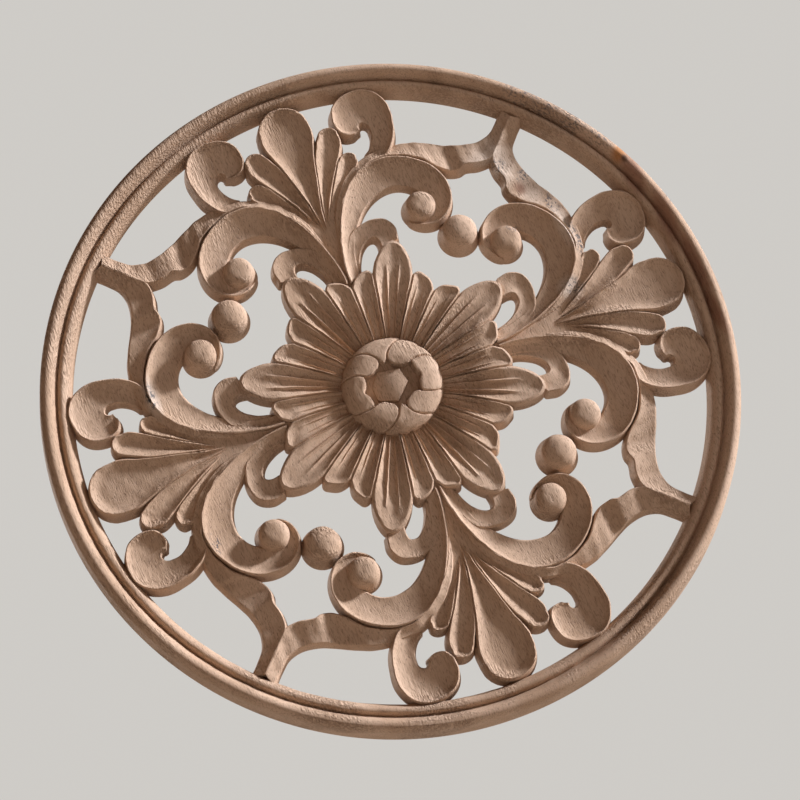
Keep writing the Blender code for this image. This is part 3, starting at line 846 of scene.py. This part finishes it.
def enclosed(places, starts, ends):
    """Which flat places lie inside the edges' loops: those with an odd number of edges to their right."""
    x, y = places[:, :1], places[:, 1:]
    crossing = (starts[:, 1] <= y) != (ends[:, 1] <= y)
    rise = np.where(starts[:, 1] == ends[:, 1], 1.0, ends[:, 1] - starts[:, 1])
    meeting = starts[:, 0] + (y - starts[:, 1]) * (ends[:, 0] - starts[:, 0]) / rise
    return np.count_nonzero(crossing & (meeting > x), axis=1) % 2 == 1


def plane_back(shape):
    """Cut everything below the back plane away, and close the cut with flat triangles."""
    work = bmesh.new()
    work.from_mesh(shape)
    bmesh.ops.triangulate(work, faces=work.faces[:])
    everything = work.verts[:] + work.edges[:] + work.faces[:]
    bmesh.ops.bisect_plane(work, geom=everything, plane_no=(0, 0, 1), clear_inner=True)
    rim = [edge for edge in work.edges if edge.is_boundary]
    corners = [vertex for vertex in work.verts if vertex.is_boundary]
    number = {vertex: place for place, vertex in enumerate(corners)}
    links = np.array([[number[vertex] for vertex in edge.verts] for edge in rim])
    points = [vertex.co.xy for vertex in corners]
    result = delaunay_2d_cdt(points, links.tolist(), [], KEEP_INSIDE, JOIN_DISTANCE, False)
    triangles = np.array(result[2])
    flat = np.array(points)
    kept = enclosed(flat[triangles].mean(axis=1), flat[links[:, 0]], flat[links[:, 1]])
    for triangle in triangles[kept]:
        work.faces.new([corners[corner] for corner in triangle[::-1]])
    work.to_mesh(shape)
    work.free()


def tool_marks(shape):
    """Move the points above the back a little along each axis, each by a sum of random sine waves."""
    points = np.empty(len(shape.vertices) * 3)
    shape.vertices.foreach_get("co", points)
    points = points.reshape(-1, 3)
    random = np.random.default_rng(WOBBLE_SEED)
    lengths = random.uniform(*WOBBLE_LENGTHS, (3, WOBBLE_WAVES))
    turns = random.uniform(0, 2 * math.pi, (3, WOBBLE_WAVES))
    phases = random.uniform(0, 2 * math.pi, (3, WOBBLE_WAVES))
    x, y = points[:, 0, None, None], points[:, 1, None, None]
    waves = np.sin((x * np.cos(turns) + y * np.sin(turns)) * 2 * math.pi / lengths + phases)
    radius = np.hypot(points[:, 0], points[:, 1])
    rim = 1 - np.clip((radius - WOBBLE_RADII[0]) / (WOBBLE_RADII[1] - WOBBLE_RADII[0]), 0, 1)
    share = np.clip(points[:, 2] / WOBBLE_FULL, 0, 1) * rim * (points[:, 2] < WOBBLE_TOP)
    points += WOBBLE_HEIGHT * waves.sum(axis=2) / math.sqrt(WOBBLE_WAVES) * share[:, None]
    shape.vertices.foreach_set("co", points.ravel())


def carve(outer_radius):
    """Mesh of the whole carving: all motifs united with the ring, planed, marked and stood up in metres."""
    solids = [flower(), *boss()]
    for number in range(PALMETTES):
        solids += [turned_by(solid, number * 360 / PALMETTES) for solid in quarter()]
    motifs = [solid_object(f"motif_{number}", solid) for number, solid in enumerate(solids)]
    shape = united(solid_object("ring", ring(outer_radius)), motifs)
    plane_back(shape)
    tool_marks(shape)
    shape.transform(Matrix.Rotation(math.pi / 2, 4, "X") @ Matrix.Scale(MM, 4))
    shape.shade_smooth()
    shape.set_sharp_from_angle(angle=math.radians(SHARP_ANGLE))
    return shape


class Nodes:
    """Adds nodes to a tree and joins them, one call for each node."""

    def __init__(self, tree):
        self.tree = tree

    def feed(self, socket, value):
        """Join a socket to another, or give it a plain value."""
        if isinstance(value, bpy.types.NodeSocket):
            self.tree.links.new(value, socket)
        else:
            socket.default_value = value

    def math(self, operation, first, second=0.0):
        """Math node."""
        node = self.tree.nodes.new("ShaderNodeMath")
        node.operation = operation
        self.feed(node.inputs[0], first)
        self.feed(node.inputs[1], second)
        return node.outputs[0]

    def vector(self, operation, first, second=(0, 0, 0), output="Vector"):
        """Vector Math node."""
        node = self.tree.nodes.new("ShaderNodeVectorMath")
        node.operation = operation
        self.feed(node.inputs[0], first)
        self.feed(node.inputs[1], second)
        return node.outputs[output]

    def ramp(self, value, start, end):
        """Smooth step from 0 where the value is at its start to 1 where it is at its end."""
        node = self.tree.nodes.new("ShaderNodeMapRange")
        node.interpolation_type = "SMOOTHSTEP"
        self.feed(node.inputs["Value"], value)
        self.feed(node.inputs["From Min"], start)
        self.feed(node.inputs["From Max"], end)
        return node.outputs["Result"]

    def noise(self, place, scale, detail, roughness):
        """Noise of a place stretched by a scale along each axis, in waves per metre."""
        node = self.tree.nodes.new("ShaderNodeTexNoise")
        self.feed(node.inputs["Vector"], self.vector("MULTIPLY", place, scale))
        node.inputs["Scale"].default_value = 1.0
        node.inputs["Detail"].default_value = detail
        node.inputs["Roughness"].default_value = roughness
        return node.outputs["Fac"]

    def mix(self, share, first, second):
        """Colour between two colours, through the node's colour sockets."""
        node = self.tree.nodes.new("ShaderNodeMix")
        node.data_type = "RGBA"
        self.feed(node.inputs["Factor"], share)
        self.feed(node.inputs[6], first)
        self.feed(node.inputs[7], second)
        return node.outputs[2]

    def group(self, tree, **values):
        """Copy of a node group with its inputs fed; gives its outputs by name."""
        node = self.tree.nodes.new("ShaderNodeGroup")
        node.node_tree = tree
        for name, value in values.items():
            self.feed(node.inputs[name], value)
        return node.outputs


def new_group(name, inputs, outputs):
    """Empty node group with its sockets, and its helper, input sockets and output sockets."""
    tree = bpy.data.node_groups.new(name, "ShaderNodeTree")
    for socket, kind in inputs.items():
        tree.interface.new_socket(socket, in_out="INPUT", socket_type=kind)
    for socket, kind in outputs.items():
        tree.interface.new_socket(socket, in_out="OUTPUT", socket_type=kind)
    start = tree.nodes.new("NodeGroupInput").outputs
    end = tree.nodes.new("NodeGroupOutput").inputs
    return tree, Nodes(tree), start, end


def grain_group():
    """Wood grain along Z: broad tone, fine fibres, and short dark pores where stretched noise peaks."""
    kinds = {name: "NodeSocketFloat" for name in ("Tone", "Fibre", "Pores")}
    tree, nodes, start, end = new_group("grain", {"Place": "NodeSocketVector"}, kinds)
    place = start["Place"]
    nodes.feed(end["Tone"], nodes.noise(place, *TONE_NOISE))
    nodes.feed(end["Fibre"], nodes.noise(place, *FIBRE_NOISE))
    nodes.feed(end["Pores"], nodes.ramp(nodes.noise(place, *PORE_NOISE), *PORE_LIMITS))
    return tree


def spot_group():
    """Soft spot: 1 near its centre, falling to 0 at its reach along each axis."""
    inputs = {name: "NodeSocketVector" for name in ("Place", "Centre", "Reach")}
    tree, nodes, start, end = new_group("spot", inputs, {"Mask": "NodeSocketFloat"})
    apart = nodes.vector("SUBTRACT", start["Place"], start["Centre"])
    distance = nodes.vector("LENGTH", nodes.vector("DIVIDE", apart, start["Reach"]), output="Value")
    nodes.feed(end["Mask"], nodes.ramp(distance, *SPOT_LIMITS))
    return tree


def spotted(nodes, spot, place, spots):
    """Largest mask of several spots, each given by its x, its z and its reach along both."""
    masks = []
    for x, z, reach_x, reach_z in spots:
        centre = (x * MM, -SPOT_DEPTH * MM, z * MM)
        reach = (reach_x * MM, SPOT_REACH * MM, reach_z * MM)
        masks.append(nodes.group(spot, Place=place, Centre=centre, Reach=reach)["Mask"])
    largest = masks[0]
    for mask in masks[1:]:
        largest = nodes.math("MAXIMUM", largest, mask)
    return largest


def torn_grain(nodes, spot, place, normal):
    """How far the grain is torn, in blotches on slopes and in the torn spots, and its raised strokes."""
    facing = nodes.vector("DOT_PRODUCT", normal, TORN_FACING, "Value")
    slope = nodes.ramp(nodes.math("ABSOLUTE", facing), *TORN_SLOPES)
    blotch = nodes.ramp(nodes.noise(place, *BLOTCH_NOISE), *BLOTCH_LIMITS)
    inside = nodes.math("MULTIPLY", spotted(nodes, spot, place, TORN), TORN_SHARE)
    share = nodes.math("MAXIMUM", nodes.math("MULTIPLY", slope, blotch), inside)
    strokes = nodes.ramp(nodes.noise(place, *TORN_NOISE), *TORN_LIMITS)
    return share, strokes


def wood_colour(nodes, spot, place, grain, torn, strokes):
    """Layers of colour over a broad tone.

    They are bleached spots, fibres, painted shade in the low hollows between the strokes of torn grain, a
    red streak, a knot and its dark core, pores and specks of soot.
    """
    # Painted shade: the low hollows between the raised strokes of torn grain are darkened with the fibre
    # colour
    pit_shade = nodes.math("MULTIPLY", nodes.math("SUBTRACT", 1.0, strokes), torn)
    specks = nodes.ramp(nodes.noise(place, *SPECK_NOISE), *SPECK_LIMITS)
    layers = (
        (spotted(nodes, spot, place, BLEACHED), BLEACHED_SHARE, BLEACHED_GREY),
        (nodes.ramp(grain["Fibre"], *FIBRE_LIMITS), FIBRE_SHARE, FIBRE_AND_PIT_SHADE),
        # Painted shade in the low hollows of torn grain
        (pit_shade, PIT_SHADE_SHARE, FIBRE_AND_PIT_SHADE),
        (spotted(nodes, spot, place, STREAK), STREAK_SHARE, WOOD_RED),
        (spotted(nodes, spot, place, KNOT), KNOT_SHARE, KNOT_BROWN),
        (spotted(nodes, spot, place, KNOT_CORE), CORE_SHARE, PORE_BROWN),
        (grain["Pores"], PORE_SHARE, PORE_BROWN),
        (nodes.math("MULTIPLY", specks, spotted(nodes, spot, place, SOOT)), SOOT_SHARE, SOOT_GREY),
    )
    tone = nodes.mix(nodes.ramp(grain["Tone"], *TONE_LIMITS), WOOD_DARK, WOOD_PALE)
    for mask, share, colour in layers:
        tone = nodes.mix(nodes.math("MULTIPLY", mask, share), tone, colour)
    return tone


def wood_normal(nodes, grain, torn, strokes):
    """Normal of the relief: the strokes of the torn grain and the fibres, less the pores."""
    relief = nodes.math("MULTIPLY", nodes.math("MULTIPLY", strokes, torn), TORN_HEIGHT)
    relief = nodes.math("ADD", relief, nodes.math("MULTIPLY", grain["Fibre"], FIBRE_HEIGHT))
    relief = nodes.math("SUBTRACT", relief, nodes.math("MULTIPLY", grain["Pores"], PORE_HEIGHT))
    bump = nodes.tree.nodes.new("ShaderNodeBump")
    bump.inputs["Distance"].default_value = 1.0
    nodes.feed(bump.inputs["Height"], relief)
    return bump.outputs["Normal"]


def new_material(name, roughness):
    """Material of an even roughness, its helper and its shader's inputs."""
    material = bpy.data.materials.new(name)
    material.use_nodes = True
    inputs = material.node_tree.nodes["Principled BSDF"].inputs
    inputs["Roughness"].default_value = roughness
    return material, Nodes(material.node_tree), inputs


def raw_wood():
    """Pale hardwood without finish."""
    material, nodes, inputs = new_material("raw_wood", WOOD_ROUGHNESS)
    coordinates = nodes.tree.nodes.new("ShaderNodeTexCoord").outputs
    place = coordinates["Object"]
    grain = nodes.group(grain_group(), Place=place)
    spot = spot_group()
    torn, strokes = torn_grain(nodes, spot, place, coordinates["Normal"])
    nodes.feed(inputs["Base Color"], wood_colour(nodes, spot, place, grain, torn, strokes))
    nodes.feed(inputs["Normal"], wood_normal(nodes, grain, torn, strokes))
    inputs["Specular IOR Level"].default_value = WOOD_SPECULAR
    return material


def floor_paint():
    """Plain pale floor."""
    material, _, inputs = new_material("floor_paint", FLOOR_ROUGHNESS)
    inputs["Base Color"].default_value = FLOOR_COLOUR
    return material


def add_floor():
    """Wide flat floor below the rosette; it isn't part of the object."""
    mesh = bpy.data.meshes.new("floor")
    half = FLOOR_SIZE / 2
    corners = ((-half, -half, 0), (half, -half, 0), (half, half, 0), (-half, half, 0))
    mesh.from_pydata(corners, [], [(0, 1, 2, 3)])
    mesh.materials.append(floor_paint())
    floor = bpy.data.objects.new("floor", mesh)
    floor.location.z = FLOOR_LEVEL
    bpy.context.scene.collection.objects.link(floor)


def add_light(name, kind, energy, colour, towards, place=(0, 0, 0)):
    """Light of a kind at a place, turned so that it comes from the direction towards it."""
    light = bpy.data.objects.new(name, bpy.data.lights.new(name, kind))
    light.data.energy = energy
    light.data.color = colour
    light.location = place
    light.rotation_mode = "QUATERNION"
    light.rotation_quaternion = Vector(towards).to_track_quat("Z", "Y")
    bpy.context.scene.collection.objects.link(light)
    return light


def add_sun(name, towards, strength, softness, colour):
    """Even light from a direction, given as the way from the rosette towards it."""
    sun = add_light(name, "SUN", strength, colour, towards)
    sun.data.angle = softness


def add_lamp(name, place, aim, power, size, colour):
    """Square lamp at a place, turned to a point, that lights the near side of the rosette more."""
    lamp = add_light(name, "AREA", power, colour, Vector(place) - Vector(aim), place)
    lamp.data.size = size
    lamp.visible_camera = False


def add_world():
    """Pale surroundings that are seen as they are but light the rosette only a little."""
    world = bpy.data.worlds.new("surroundings")
    world.use_nodes = True
    tree = world.node_tree
    seen = tree.nodes["Background"]
    seen.inputs["Color"].default_value = BACKDROP_COLOUR
    fill = tree.nodes.new("ShaderNodeBackground")
    fill.inputs["Color"].default_value = FILL_COLOUR
    fill.inputs["Strength"].default_value = FILL_STRENGTH
    path = tree.nodes.new("ShaderNodeLightPath")
    mix = tree.nodes.new("ShaderNodeMixShader")
    tree.links.new(path.outputs["Is Camera Ray"], mix.inputs[0])
    tree.links.new(fill.outputs[0], mix.inputs[1])
    tree.links.new(seen.outputs[0], mix.inputs[2])
    tree.links.new(mix.outputs[0], tree.nodes["World Output"].inputs["Surface"])
    bpy.context.scene.world = world


def aimed(place, forward, right):
    """Matrix of a camera at a place, looking along one direction with another on its right."""
    back = -Vector(forward).normalized()
    right = Vector(right).normalized()
    up = back.cross(right)
    return Matrix.Translation(place) @ Matrix((right, up, back)).transposed().to_4x4()


def add_camera():
    """Camera where the photograph was taken from, turned so that the palmette leans to the left."""
    camera = bpy.data.objects.new("camera", bpy.data.cameras.new("camera"))
    camera.data.lens = CAMERA_LENS
    camera.matrix_world = aimed(CAMERA_PLACE, CAMERA_FORWARD, CAMERA_RIGHT)
    bpy.context.scene.collection.objects.link(camera)
    bpy.context.scene.camera = camera


def add_rosette():
    """The fine carving of raw wood, as wide as the part's plain one, which it replaces."""
    low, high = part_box(NODE)
    outer_radius = (high.x - low.x) / 2 / MM
    rosette = bpy.data.objects.new("rosette", carve(outer_radius))
    rosette.data.materials.clear()
    rosette.data.materials.append(raw_wood())
    bpy.context.scene.collection.objects.link(rosette)
    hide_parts(NODE)
    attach(rosette, "root")


add_rosette()
add_floor()
add_world()
for sun in SUNS:
    add_sun(*sun)
add_lamp(*LAMP)
add_camera()
bpy.context.scene.view_settings.view_transform = "Standard"
